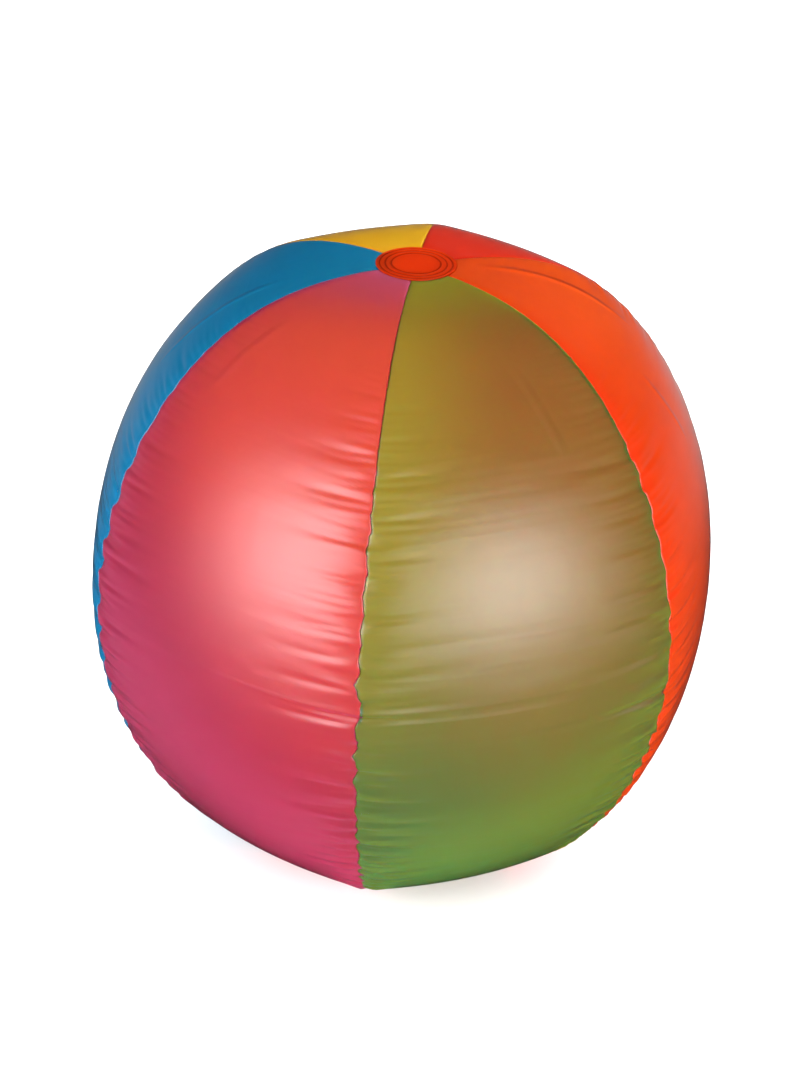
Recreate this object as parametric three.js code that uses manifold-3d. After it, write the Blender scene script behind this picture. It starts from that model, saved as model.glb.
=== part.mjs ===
// Inflatable six-panel beach ball, blown up and standing on its lower end cap.
// Units are millimetres. +Z is the pole axis, the origin is the ball's centre, and +Y points out
// through the air valve, which sits in the middle of the yellow panel.
//
// The ball is a bag of six boat-shaped panels of soft vinyl film. Each panel's two long edges turn
// inward as a narrow margin, and neighbouring margins are welded face to face. A round cap closes
// each pole. The valve is a soft moulding: a base welded behind the panel, a thin web, and a stem
// that the web lets slide in and out, with a stopper on a tether and a check flap at its inner end.

import * as THREE from 'three';
import { mergeVertices } from 'three/addons/utils/BufferGeometryUtils.js';
import Module from 'manifold-3d';

const wasm = await Module();
wasm.setup();

// ---- Driving dimensions of the ball ----
const SEAM_RADIUS = 198;        // pole axis to a seam, at the equator
const CROWN_HEIGHT = 195.5;     // centre to the flat crown under a cap
const CROWN_FLATTENING = 0.17;  // how much the shoulders sink below an ellipse
const SEAM_FULLNESS = 0.65;     // below 1 the seam meridian is squarer than an ellipse
const BULGE = 0.136;            // rise of a panel's middle above its chord, share of seam radius
const BULGE_POWER = 2.2;        // how fast that rise fades towards the poles
const BULGE_RELIEF = 0.055;     // part of the rise that the seams give back at the equator
const BULGE_RELIEF_POWER = 6.6;
const FILM = 0.3;               // vinyl film thickness
const GAP = 0.3;                // clearance between pieces that touch on the real ball
const MARGIN = 2.6;             // width of the welded margin inside a seam
const MARGIN_FULL_RADIUS = 60;  // nearer the pole than this the margin narrows
const PANEL_COUNT = 6;
const OPENING_RADIUS = 13;      // panels stop this far from the pole axis, under the caps
const CAP_RADIUS = 24;
const CAP_THICKNESS = 0.4;

// ---- Driving dimensions of the valve; depths are measured inward from the panel's outer face ----
const VALVE_HOLE_RADIUS = 11;
const BASE_RADIUS = 20;         // welded base, behind the panel
const BASE_DEPTH = 1.1;
const BASE_THICKNESS = 0.6;
const STEM_RADIUS = 4.6;
const STEM_BORE = 3.4;
const STEM_TOP_DEPTH = 2;
const STEM_LENGTH = 20;
const LIP_RADIUS = 5.4;         // bead round the stem's mouth
const LIP_LENGTH = 1.4;
const WEB_THICKNESS = 0.5;
const WEB_ROOT_DEPTH = 9;       // where the web meets the stem, with the valve pushed in
const PLUG_HEAD_RADIUS = 6;
const PLUG_HEAD_THICKNESS = 1.2;
const PLUG_RADIUS = 3.15;
const PLUG_TIP_RADIUS = 2.9;
const PLUG_LENGTH = 8;
const TAB_REACH = 9.4;          // pull tab's end, from the valve's axis
const TAB_WIDTH = 4.6;
const TAB_THICKNESS = 1;
const STRAP_INNER_RADIUS = 6.5;
const STRAP_OUTER_RADIUS = 8.5;
const STRAP_THICKNESS = 0.7;
const FLAP_RADIUS = 4.2;
const FLAP_THICKNESS = 0.5;
const FLAP_HINGE_REACH = 4.5;   // hinge strip's outer end, from the valve's axis

// ---- Mesh fineness ----
const ROWS = 24;                // steps along a panel, even so that one row is the equator
const COLUMNS = 8;              // steps across a panel, even so that one column is its middle
const ROUND_SIDES = 32;

const HALF_PANEL = Math.PI / PANEL_COUNT;

// One row of a panel, in the panel's own frame: +X through its middle, Y across it.
// angle runs from 0 at the upper pole to pi at the lower one.
function seamPoint(angle) {
  const sine = Math.sin(angle);
  const cosine = Math.cos(angle);
  const radius = SEAM_RADIUS * sine ** SEAM_FULLNESS;
  const height = CROWN_HEIGHT * cosine * (1 - CROWN_FLATTENING * sine * sine);
  const radiusSlope = SEAM_RADIUS * SEAM_FULLNESS * sine ** (SEAM_FULLNESS - 1) * cosine;
  const heightSlope = -CROWN_HEIGHT * sine
    * (1 - CROWN_FLATTENING * sine * sine + 2 * CROWN_FLATTENING * cosine * cosine);
  const slope = Math.hypot(radiusSlope, heightSlope);
  const rise = SEAM_RADIUS
    * (BULGE * sine ** BULGE_POWER - BULGE_RELIEF * sine ** BULGE_RELIEF_POWER);
  return { radius, height, outR: -heightSlope / slope, outZ: radiusSlope / slope, rise };
}

// A point of the panel's surface: across is -1 and 1 on the seams, and depth is measured inward.
function panelPoint(angle, across, depth) {
  const { radius, height, outR, outZ, rise } = seamPoint(angle);
  const halfWidth = radius * Math.sin(HALF_PANEL);
  const chord = radius * Math.cos(HALF_PANEL);
  const arcRadius = (halfWidth * halfWidth + rise * rise) / (2 * rise);
  const side = halfWidth * across;
  const lean = Math.asin(side / arcRadius);
  const out = arcRadius * Math.cos(lean) - (arcRadius - rise) - depth * Math.cos(lean);
  return new THREE.Vector3(chord + out * outR, side - depth * Math.sin(lean), height + out * outZ);
}

// A point of the welded margin: inward is how far it reaches into the ball along the seam's normal,
// and aside is its distance from the plane of the seam.
function marginPoint(angle, edge, inward, aside) {
  const { radius, height, outR, outZ } = seamPoint(angle);
  const reach = radius - inward * outR;
  const x = reach * Math.cos(HALF_PANEL) + aside * Math.sin(HALF_PANEL);
  const y = edge * (reach * Math.sin(HALF_PANEL) - aside * Math.cos(HALF_PANEL));
  return new THREE.Vector3(x, y, height - inward * outZ);
}

// The outer and inner skin of one row, from margin end to margin end, as pairs of points.
function panelRow(angle) {
  const { radius } = seamPoint(angle);
  const margin = MARGIN * Math.min(1, 0.25 + 0.75 * radius / MARGIN_FULL_RADIUS);
  const outer = [];
  const inner = [];
  for (const edge of [-1, 1]) {
    const ends = [
      [marginPoint(angle, edge, margin, GAP / 2), marginPoint(angle, edge, margin, GAP / 2 + FILM)],
      [marginPoint(angle, edge, 0, GAP / 2), marginPoint(angle, edge, FILM, GAP / 2 + FILM)],
    ];
    if (edge > 0) {
      for (let column = 1; column < COLUMNS; column += 1) {
        const across = 2 * column / COLUMNS - 1;
        outer.push(panelPoint(angle, across, 0));
        inner.push(panelPoint(angle, across, FILM));
      }
      ends.reverse();
    }
    for (const [outerEnd, innerEnd] of ends) {
      outer.push(outerEnd);
      inner.push(innerEnd);
    }
  }
  return [...outer, ...inner.reverse()];
}

// Closed mesh through equal rings of points; the flat ends are closed between paired points. The
// second half of a ring is the inner skin, and its squares are split along the same diagonal as
// the outer skin's, so that the film keeps its thickness where they are twisted.
function loft(rings) {
  const count = rings[0].length;
  const positions = rings.flat().flatMap((point) => [point.x, point.y, point.z]);
  const indices = [];
  const quad = (a, b, c, d) => indices.push(a, b, c, a, c, d);
  for (let ring = 0; ring < rings.length - 1; ring += 1) {
    for (let i = 0; i < count; i += 1) {
      const here = ring * count + i;
      const beside = ring * count + (i + 1) % count;
      if (i < count / 2) {
        quad(here, here + count, beside + count, beside);
      } else {
        quad(here + count, beside + count, beside, here);
      }
    }
  }
  const last = (rings.length - 1) * count;
  for (let i = 0; i < count / 2 - 1; i += 1) {
    const opposite = count - 1 - i;
    quad(i, i + 1, opposite - 1, opposite);
    quad(last + i, last + opposite, last + opposite - 1, last + i + 1);
  }
  const geometry = new THREE.BufferGeometry();
  geometry.setAttribute('position', new THREE.Float32BufferAttribute(positions, 3));
  geometry.setIndex(indices);
  return geometry;
}

function panelGeometry() {
  const start = Math.asin((OPENING_RADIUS / SEAM_RADIUS) ** (1 / SEAM_FULLNESS));
  const rings = [];
  for (let row = 0; row <= ROWS; row += 1) {
    const even = row / ROWS;
    const crowded = (1 - Math.cos(Math.PI * even)) / 2;
    const share = (even + crowded) / 2;
    rings.push(panelRow(start + (Math.PI - 2 * start) * share));
  }
  return loft(rings);
}

// ---- Joining and cutting ----
function toSolid(geometry) {
  const bare = geometry.clone();
  bare.deleteAttribute('normal');
  bare.deleteAttribute('uv');
  const merged = mergeVertices(bare, 1e-4);
  return new wasm.Manifold(new wasm.Mesh({
    numProp: 3,
    vertProperties: new Float32Array(merged.attributes.position.array),
    triVerts: new Uint32Array(merged.index.array),
  }));
}

function toGeometry(solid) {
  const mesh = solid.getMesh();
  const geometry = new THREE.BufferGeometry();
  geometry.setAttribute('position', new THREE.Float32BufferAttribute(mesh.vertProperties, 3));
  geometry.setIndex(Array.from(mesh.triVerts));
  return geometry;
}

// ---- Pieces turned about the valve's axis: profile points are [radius, depth] ----
function turned(profile) {
  const points = profile.map(([radius, depth]) => new THREE.Vector2(radius, -depth));
  return new THREE.LatheGeometry(points, ROUND_SIDES);
}

const equator = seamPoint(Math.PI / 2);
const PANEL_FACE = equator.radius * Math.cos(HALF_PANEL) + equator.rise;

// How far the yellow panel's face falls away from its middle, at a place across and along it.
function panelFall(across, along) {
  let low = 0.5;
  let high = Math.PI - 0.5;
  for (let step = 0; step < 40; step += 1) {
    const middle = (low + high) / 2;
    if (panelPoint(middle, 0, 0).z > along) {
      low = middle;
    } else {
      high = middle;
    }
  }
  const halfWidth = seamPoint(low).radius * Math.sin(HALF_PANEL);
  return PANEL_FACE - panelPoint(low, across / halfWidth, 0).x;
}

// Welded base: a ring that follows the panel's curve behind it.
function baseGeometry() {
  const inner = VALVE_HOLE_RADIUS - GAP;
  const middle = (VALVE_HOLE_RADIUS + BASE_RADIUS) / 2;
  const back = BASE_DEPTH + BASE_THICKNESS;
  const profile = [[inner, BASE_DEPTH], [inner, back], [middle, back], [BASE_RADIUS, back],
    [BASE_RADIUS, BASE_DEPTH], [middle, BASE_DEPTH], [inner, BASE_DEPTH]];
  const geometry = turned(profile);
  const position = geometry.attributes.position;
  for (let i = 0; i < position.count; i += 1) {
    const fall = panelFall(position.getX(i), position.getZ(i));
    position.setY(i, position.getY(i) - fall);
  }
  return geometry;
}

// Web: the thin cone that joins the base to the stem and turns inside out when the stem is pulled.
function webGeometry() {
  const rim = VALVE_HOLE_RADIUS - 2 * GAP;
  const root = STEM_RADIUS + GAP;
  const rimDepth = BASE_DEPTH + GAP;
  const knee = (rim + root) / 2;
  const kneeDepth = (rimDepth + WEB_ROOT_DEPTH) / 2 + 0.8;
  return turned([[rim, rimDepth], [knee, kneeDepth], [root, WEB_ROOT_DEPTH],
    [root, WEB_ROOT_DEPTH + WEB_THICKNESS * 2], [knee, kneeDepth + WEB_THICKNESS * 1.6],
    [rim - 0.1, rimDepth + WEB_THICKNESS * 2], [rim, rimDepth]]);
}

function stemGeometry() {
  const inner = STEM_TOP_DEPTH + STEM_LENGTH;
  const lipBack = STEM_TOP_DEPTH + LIP_LENGTH;
  return turned([[STEM_BORE, inner], [STEM_RADIUS, inner], [STEM_RADIUS, lipBack],
    [LIP_RADIUS, lipBack - 0.3], [LIP_RADIUS, STEM_TOP_DEPTH + 0.3], [LIP_RADIUS - 0.4, STEM_TOP_DEPTH],
    [STEM_BORE + 0.2, STEM_TOP_DEPTH], [STEM_BORE, STEM_TOP_DEPTH + 0.2], [STEM_BORE, inner]]);
}

const PLUG_HEAD_BACK = STEM_TOP_DEPTH - GAP;
const PLUG_HEAD_FACE = PLUG_HEAD_BACK - PLUG_HEAD_THICKNESS;

// Stopper: a tapered shank under a round head, with a tab to pull it by.
function plugGeometry() {
  const tip = PLUG_HEAD_BACK + PLUG_LENGTH;
  const body = toSolid(turned([[0, tip], [PLUG_TIP_RADIUS - 0.5, tip], [PLUG_TIP_RADIUS, tip - 0.6],
    [PLUG_RADIUS, PLUG_HEAD_BACK], [PLUG_HEAD_RADIUS, PLUG_HEAD_BACK],
    [PLUG_HEAD_RADIUS, PLUG_HEAD_FACE + 0.3], [PLUG_HEAD_RADIUS - 0.4, PLUG_HEAD_FACE],
    [0, PLUG_HEAD_FACE]]));
  const start = PLUG_HEAD_RADIUS - 2;
  const tab = new THREE.BoxGeometry(TAB_REACH - start, TAB_THICKNESS, TAB_WIDTH);
  tab.translate((TAB_REACH + start) / 2, -(PLUG_HEAD_BACK - TAB_THICKNESS / 2 - 0.1), 0);
  return toGeometry(body.add(toSolid(tab)));
}

// Tether: a flat strap that leaves the plug's head and winds down round the stem to below its lip.
// Angles are about the valve's axis, from +X towards -Z, as seen from outside.
function strapGeometry() {
  const steps = 20;
  const startAngle = Math.PI * 0.3;
  const sweep = Math.PI * 0.95;
  const topDepth = PLUG_HEAD_BACK - PLUG_HEAD_THICKNESS + 0.2;
  const bottomDepth = STEM_TOP_DEPTH + LIP_LENGTH + 0.5;
  const headRadius = PLUG_HEAD_RADIUS + GAP;
  const stemRadius = STEM_RADIUS + GAP;
  const smooth = (t) => t * t * (3 - 2 * t);
  const rings = [];
  for (let step = 0; step <= steps; step += 1) {
    const share = step / steps;
    const angle = startAngle + sweep * share;
    const depth = topDepth + (bottomDepth - topDepth) * smooth(share);
    const leave = smooth(Math.min(1, share * 5));
    const land = smooth(Math.max(0, share * 4 - 3));
    const inner = headRadius + (STRAP_INNER_RADIUS - headRadius) * leave
      + (stemRadius - STRAP_INNER_RADIUS) * land;
    const outer = headRadius + 1.4 + (STRAP_OUTER_RADIUS - headRadius - 1.4) * leave
      + (stemRadius + 1.6 - STRAP_OUTER_RADIUS) * land;
    const at = (radius, down) => new THREE.Vector3(
      radius * Math.cos(angle),
      -down,
      -radius * Math.sin(angle),
    );
    rings.push([at(inner, depth), at(inner, depth + STRAP_THICKNESS),
      at(outer, depth + STRAP_THICKNESS), at(outer, depth)]);
  }
  return loft(rings);
}

const FLAP_DEPTH = STEM_TOP_DEPTH + STEM_LENGTH + GAP;

// Check flap: a thin disc that closes the stem's inner end, with a hinge strip on its upper edge.
function flapGeometry() {
  const disc = toSolid(turned([[0, FLAP_DEPTH + FLAP_THICKNESS], [FLAP_RADIUS, FLAP_DEPTH + FLAP_THICKNESS],
    [FLAP_RADIUS, FLAP_DEPTH], [0, FLAP_DEPTH]]));
  const start = FLAP_RADIUS - 1.5;
  const strip = new THREE.BoxGeometry(2.4, FLAP_THICKNESS * 0.8, FLAP_HINGE_REACH - start);
  strip.translate(0, -(FLAP_DEPTH + FLAP_THICKNESS / 2), (FLAP_HINGE_REACH + start) / 2);
  return toGeometry(disc.add(toSolid(strip)));
}

// ---- Materials ----
function vinyl(color, opacity = 0.8) {
  return new THREE.MeshStandardMaterial({
    color,
    roughness: 0.35,
    metalness: 0,
    transparent: true,
    opacity,
  });
}

// ---- Assembly ----
const ball = new THREE.Group();

function addPiece(parent, name, geometry, material) {
  const mesh = new THREE.Mesh(geometry, material);
  mesh.name = name;
  parent.add(mesh);
  return mesh;
}

// Panels in order round the ball, counter-clockwise from above, with the middle of each one's
// direction from +X in degrees.
const panels = [
  ['panel_orange', -30, 0xf25a1e],
  ['panel_red', 30, 0xd8281c],
  ['panel_yellow', 90, 0xe8b020],
  ['panel_blue', 150, 0x1673b0],
  ['panel_pink', 210, 0xd0356a],
  ['panel_green', 270, 0x3c9a56],
];

for (const [name, degrees, color] of panels) {
  let geometry = panelGeometry();
  if (name === 'panel_yellow') {
    const drill = new THREE.CylinderGeometry(VALVE_HOLE_RADIUS, VALVE_HOLE_RADIUS, 20, ROUND_SIDES);
    drill.rotateZ(Math.PI / 2);
    drill.translate(PANEL_FACE, 0, 0);
    geometry = toGeometry(toSolid(geometry).subtract(toSolid(drill)));
  }
  const panel = addPiece(ball, name, geometry, vinyl(color));
  panel.rotation.z = THREE.MathUtils.degToRad(degrees);
}

function capGeometry() {
  const inside = CROWN_HEIGHT + GAP;
  const outside = inside + CAP_THICKNESS;
  const profile = [[0, inside], [CAP_RADIUS, inside], [CAP_RADIUS, outside], [0, outside]];
  const points = profile.map(([radius, height]) => new THREE.Vector2(radius, height));
  return new THREE.LatheGeometry(points, ROUND_SIDES * 2);
}

const topCap = addPiece(ball, 'top_cap', capGeometry(), vinyl(0xe23a1a));
topCap.rotation.x = Math.PI / 2;
const bottomCap = addPiece(ball, 'bottom_cap', capGeometry(), vinyl(0xe23a1a));
bottomCap.rotation.x = -Math.PI / 2;

const valve = new THREE.Group();
valve.position.y = PANEL_FACE;
ball.add(valve);
const clearVinyl = vinyl(0xe6e8e4, 0.7);
addPiece(valve, 'valve_base', baseGeometry(), clearVinyl);
addPiece(valve, 'valve_web', webGeometry(), clearVinyl);
addPiece(valve, 'valve_stem', stemGeometry(), clearVinyl);
addPiece(valve, 'valve_plug', plugGeometry(), clearVinyl);
addPiece(valve, 'plug_strap', strapGeometry(), clearVinyl);
addPiece(valve, 'check_flap', flapGeometry(), clearVinyl);

export default ball;
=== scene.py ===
"""An inflatable beach ball of six welded vinyl panels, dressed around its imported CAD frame.

The panels are a cloth simulation of flat-cut film under pressure, to which seeded scallops and
gathers are added along the welded seams. Meshes are measured in millimetres, and make_mesh turns
them into metres. Materials, camera and lights are in metres.
"""

import math

import bmesh
import bpy
import numpy as np
from mathutils import Matrix, Vector
from mathutils.bvhtree import BVHTree


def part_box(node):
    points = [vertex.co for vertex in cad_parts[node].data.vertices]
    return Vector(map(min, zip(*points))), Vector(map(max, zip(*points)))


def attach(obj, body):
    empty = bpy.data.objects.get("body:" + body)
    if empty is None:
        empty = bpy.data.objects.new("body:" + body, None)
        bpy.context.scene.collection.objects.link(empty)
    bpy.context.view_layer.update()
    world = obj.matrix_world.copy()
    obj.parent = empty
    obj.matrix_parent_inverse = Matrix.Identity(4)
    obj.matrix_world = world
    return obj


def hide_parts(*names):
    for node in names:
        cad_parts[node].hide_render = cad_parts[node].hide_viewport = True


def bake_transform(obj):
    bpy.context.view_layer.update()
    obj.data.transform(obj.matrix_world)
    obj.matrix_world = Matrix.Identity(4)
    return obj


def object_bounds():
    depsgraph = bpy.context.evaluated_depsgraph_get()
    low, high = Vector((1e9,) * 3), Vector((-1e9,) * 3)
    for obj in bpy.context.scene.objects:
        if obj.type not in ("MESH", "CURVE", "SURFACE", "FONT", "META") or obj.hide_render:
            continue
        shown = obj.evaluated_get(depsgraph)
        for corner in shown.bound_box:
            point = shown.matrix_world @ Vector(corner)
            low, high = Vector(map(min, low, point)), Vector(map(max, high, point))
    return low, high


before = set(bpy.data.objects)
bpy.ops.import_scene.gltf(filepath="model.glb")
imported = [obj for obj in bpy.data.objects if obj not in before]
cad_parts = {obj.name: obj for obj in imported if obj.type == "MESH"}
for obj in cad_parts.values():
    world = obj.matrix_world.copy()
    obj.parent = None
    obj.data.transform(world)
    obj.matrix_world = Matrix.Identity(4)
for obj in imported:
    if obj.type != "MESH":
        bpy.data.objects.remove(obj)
cad_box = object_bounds()

MM = 0.001

# ---- The inflated shape, as the CAD has it ----
SEAM_RADIUS = cad_box[1].x / MM            # pole axis to a seam, at the equator
CAP_FACE = cad_box[1].z / MM               # outer face of a pole cap
CROWN_HEIGHT = 195.5                       # centre to the flat crown under a cap
CROWN_FLATTENING = 0.17
SEAM_FULLNESS = 0.65
BULGE = 0.136
BULGE_POWER = 2.2
BULGE_RELIEF = 0.055
BULGE_RELIEF_POWER = 6.6
PANEL_COUNT = 6
PANEL_TURN = 360 / PANEL_COUNT
HALF_PANEL = math.pi / PANEL_COUNT
HALF_WIDTH = SEAM_RADIUS * math.sin(HALF_PANEL)
OPENING_RADIUS = 13.0                      # panels stop this far from the pole axis, under the caps

# ---- Film and seams ----
FILM = 0.26                                # film thickness
WELD_GAP = 0.03                            # between two welded margins
MARGIN = 2.6                               # width of the welded margin, inside the ball
MARGIN_FULL_RADIUS = 60                    # nearer the pole than this the margin narrows
EDGE_ROUNDING = 0.6                        # how far the film takes to turn into its margin
CORNER_SHARE = 0.45                        # but no more than this share of the first column

# ---- Pole caps ----
CAP_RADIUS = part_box("top_cap")[1].x / MM
CAP_FILM = 0.35
CAP_INSET = 0.02                           # of its middle, below the CAD's flat face
CAP_DROP = 0.15                            # of its edge, below its middle
CAP_RINGS = (14.6, 18.2, 21.6)             # radii of the welded rings
RING_WIDTH = 0.55
RING_DEPTH = 0.2

# ---- Valve; depths are measured inward from the panel's outer face ----
VALVE_FACE = SEAM_RADIUS * (math.cos(HALF_PANEL) + BULGE - BULGE_RELIEF)
VALVE_AZIMUTH = 90                         # the yellow panel's, in degrees
VALVE_HOLE_RADIUS = 11.0
BASE_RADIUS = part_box("valve_base")[1].x / MM
BASE_STEP_RADIUS = 15.0                    # beyond this the base thins towards its rim
BASE_FACE = 0.3
BASE_BACK = 1.7
WELD_BAND = (12.4, 18.6)                   # pressed ring that holds the base to the film
WELD_BAND_DEPTH = 0.3
WELD_BAND_SLOPE = 0.8
WELD_REACH = 26.0                          # the yellow film has a finer grid this far from the valve
WELD_COLUMNS = 43
STEM_RADIUS = 4.6
STEM_BORE = 3.4
STEM_TOP_DEPTH = 2.0
STEM_LENGTH = 20.0
LIP_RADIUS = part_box("valve_stem")[1].x / MM
LIP_LENGTH = 1.4
WEB_RIM_DEPTH = 1.2
WEB_ROOT_DEPTH = 9.0
WEB_SAG = 2.4
WEB_THICKNESS = 0.7
PLUG_HEAD_RADIUS = 6.0
PLUG_HEAD_FACE = 0.5
PLUG_HEAD_BACK = 1.7
PLUG_RADIUS = 3.15
PLUG_LENGTH = 8.0
PLUG_TAPER = 0.25
TAB_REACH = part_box("valve_plug")[1].x / MM
TAB_WIDTH = 4.6
TAB_THICKNESS = 1
STRAP_STEPS = 72
STRAP_START = 0.3                          # where it leaves the head and how far it goes, in half turns
STRAP_TURN = 0.95
STRAP_WIDTH = 1.5
STRAP_THICKNESS = 0.7
STRAP_LOOP_RADIUS = 6.5                    # where it hangs free of the stem
STRAP_SECTION = [(0, 0.25), (0.3, 0), (0.7, 0), (1, 0.25), (1, 0.75), (0.7, 1), (0.3, 1), (0, 0.75)]
FLAP_RADIUS = 4.2
FLAP_THICKNESS = 0.5
FLAP_GAP = 0.3                             # between the closed flap and the stem's end
FLAP_HINGE_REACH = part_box("check_flap")[1].z / MM
FLAP_STRIP_START = 2.7
FLAP_STRIP_HALF = 1.2                      # half its width

# ---- Simulation ----
ROWS = 501
HALF_COLUMNS = 16
COLUMN_CROWDING = 1.4                      # above 1 the columns crowd towards the seams
STEPS = 170
PRESSURE = 0.003
STRETCHING = 0.9                           # how firmly neighbours are pulled to their flat distance
SHEARING = 0.5
MARGIN_SHEARING = 0.6
BENDING = 0.08
DRAG = 0.9
PUCKER_PLACES = (0.35, 0.6, 0.85)          # shares of the way from the upper pole to the lower one
PUCKER_PITCHES = (23.0, 17.0, 11.0)
PUCKER_START = 1.3                         # how far the seeded puckers stray, in mm
PUCKER_REACH = 14.0
PUCKER_SWELL = 8.0                         # how far from the seam the film swells most
WAVE_SAMPLES = 16                          # per pitch
WAVE_BAND = 0.35                           # spread of its frequencies about one per pitch
END_FADE = 20.0                            # beside the openings the film keeps the CAD's shape
SHAPE_BLUR_ALONG = 22.0                    # what is wider than this keeps the CAD's shape
SHAPE_BLUR_ACROSS = 12.0
PUCKER_GAIN = 1.1
PUCKER_LIMIT = 1.8
SCALLOP_DEPTH = 1.9                        # dents that the gathered seam makes beside itself
SCALLOP_SWAY = 0.9
SCALLOP_REACH = 9.0
SCALLOP_STRENGTH = ((0.22, 0.36, 0.93, 0.985), (0, 1, 1, 0))  # shares of the way down, and strengths
RIPPLE_DEPTHS = ((0.2, 0.4, 0.62, 0.93, 0.985), (0, 0.3, 1.0, 0.9, 0))  # the same for the gathers
RIPPLE_REACH = 6.5
RIPPLE_CLOSENESS = 1.4                     # how much closer together than the scallops

# ---- Camera and lights, seen from the front as the object is shown ----
CAMERA_AZIMUTH = -23.29
CAMERA_ELEVATION = 28.75
CAMERA_ROLL = 2.385
CAMERA_DISTANCE = 2.0
CAMERA_LENS = 107.14
AIM_RIGHT = -0.0024
AIM_UP = 0.0062

WORLD_LIGHT = 1.15
WORLD_REFLECTED = 0.01                     # what a gloss sees of the dark front of the studio
BACKDROP_REFLECTED = 0.22                  # and of the white backdrop behind the ball
BACKDROP_SPREAD = (0.90, 1.0)              # cosines, from the backdrop's edge to its middle
FLOOR_HALF = 20000.0
FLOOR_SHADE = 0.92
FLOOR_REFLECTED = 0.02
FLOOR_BACKDROP = (0.3, 1.2)                # the floor turns into backdrop this far behind the ball
FLOOR_GLOW = 8.0                           # extra light from a patch of paper in front of the ball
FLOOR_GLOW_REACH = 0.22
FLOOR_GLOW_AHEAD = 0.24
SOFTBOXES = [  # name, direction to the camera's right, up and back, distance, size, watts, seen in gloss
    ("right_softbox", (0.60, -0.30, 0.74), 1.7, (0.8, 0.9), 42, True),
    ("left_softbox", (-0.70, -0.15, 0.69), 1.7, (0.7, 1.4), 52, True),
    ("back_softbox", (0.45, 0.75, -0.50), 2.2, (1.8, 1.8), 64, False),
]

# ---- Looks of the films: colour scattered, colour of what is seen through, how much scatters ----
PANELS = [
    ("orange", (0.75, 0.050, 0.000), (1.0, 0.15, 0.00), 0.70),
    ("red", (0.78, 0.024, 0.005), (1.0, 0.06, 0.02), 0.65),
    ("yellow", (0.97, 0.47, 0.015), (1.0, 0.72, 0.01), 0.55),
    ("blue", (0.001, 0.36, 0.85), (0.005, 0.20, 0.25), 0.48),
    ("pink", (0.66, 0.020, 0.10), (0.60, 0.140, 0.32), 0.32),
    ("green", (0.02, 0.37, 0.11), (0.39, 0.31, 0.001), 0.30),
]
CAP_LOOK = ((0.82, 0.028, 0.002), (1.0, 0.06, 0.004), 0.16)
GLOSS_ROUGHNESS = 0.42
HAZE_ROUGHNESS = 0.45                      # blur of what is seen through the film
SURFACE_SHARE = 0.6                        # scattered light that stays on the side it came from
# painted shade along the cap's pressed rings: its width, and how far it darkens the film there
RING_SHADE_WIDTH = 0.0008
RING_SHADE = 0.7
FOLD_WIDTH = 0.0045
FOLD_HEIGHT = 0.0005
FOLD_RADIUS = 0.192
FOLDS = {                                  # creases from packing: azimuth and elevation of both ends
    "orange": [((-21, 82), (-15, 46)), ((-36, 48), (-31, 30))],
    "red": [((44, 62), (38, 20))],
    "yellow": [((78, 60), (74, 24))],
    "blue": [((166, 70), (160, 38)), ((140, 52), (146, 12))],
    "pink": [((196, 66), (190, 44))],
    "green": [((278, 62), (284, 40))],
}

rng = np.random.default_rng(7)


# ---- Shape of the inflated ball ----
def seam_line(angle):
    """Radius, height, outward normal and panel rise at an angle from the upper pole."""
    sine = np.sin(angle)
    cosine = np.cos(angle)
    radius = SEAM_RADIUS * sine**SEAM_FULLNESS
    height = CROWN_HEIGHT * cosine * (1 - CROWN_FLATTENING * sine**2)
    radius_slope = SEAM_RADIUS * SEAM_FULLNESS * sine ** (SEAM_FULLNESS - 1) * cosine
    flattening = 1 - CROWN_FLATTENING * sine**2 + 2 * CROWN_FLATTENING * cosine**2
    height_slope = -CROWN_HEIGHT * sine * flattening
    slope = np.hypot(radius_slope, height_slope)
    rise = SEAM_RADIUS * (BULGE * sine**BULGE_POWER - BULGE_RELIEF * sine**BULGE_RELIEF_POWER)
    return radius, height, -height_slope / slope, radius_slope / slope, rise


def panel_grid(angle, across):
    """Points of a panel about +X, one row per angle, and half the width of its flat cut."""
    radius, height, out_r, out_z, rise = [value[:, None] for value in seam_line(angle)]
    half = radius * math.sin(HALF_PANEL)
    chord = radius * math.cos(HALF_PANEL)
    bend = (half**2 + rise**2) / (2 * rise)
    half_turn = np.arcsin(half / bend)
    lean = half_turn * across[None, :]
    out = bend * np.cos(lean) - (bend - rise)
    points = np.stack([chord + out * out_r, bend * np.sin(lean), height + out * out_z], -1)
    return points, (bend * half_turn)[:, 0]


def spin(points, degrees):
    """Points turned about the pole axis."""
    cosine = math.cos(math.radians(degrees))
    sine = math.sin(math.radians(degrees))
    x = points[..., 0] * cosine - points[..., 1] * sine
    y = points[..., 0] * sine + points[..., 1] * cosine
    return np.stack([x, y, points[..., 2]], -1)


def even_angles(rows):
    """Angles from opening to opening, at even steps along a seam, and the step's length."""
    start = math.asin((OPENING_RADIUS / SEAM_RADIUS) ** (1 / SEAM_FULLNESS))
    fine = np.linspace(start, math.pi - start, 4001)
    radius, height = seam_line(fine)[:2]
    steps = np.hypot(np.diff(radius), np.diff(height))
    length = np.concatenate([[0], np.cumsum(steps)])
    return np.interp(np.linspace(0, length[-1], rows), length, fine), length[-1] / (rows - 1)


def length_of(vectors):
    """Lengths of an array of vectors."""
    return np.linalg.norm(vectors, axis=-1)


def unit(vectors):
    """The vectors at length 1; a vector of no length stays as it is."""
    return vectors / np.maximum(length_of(vectors), 1e-9)[..., None]


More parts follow.
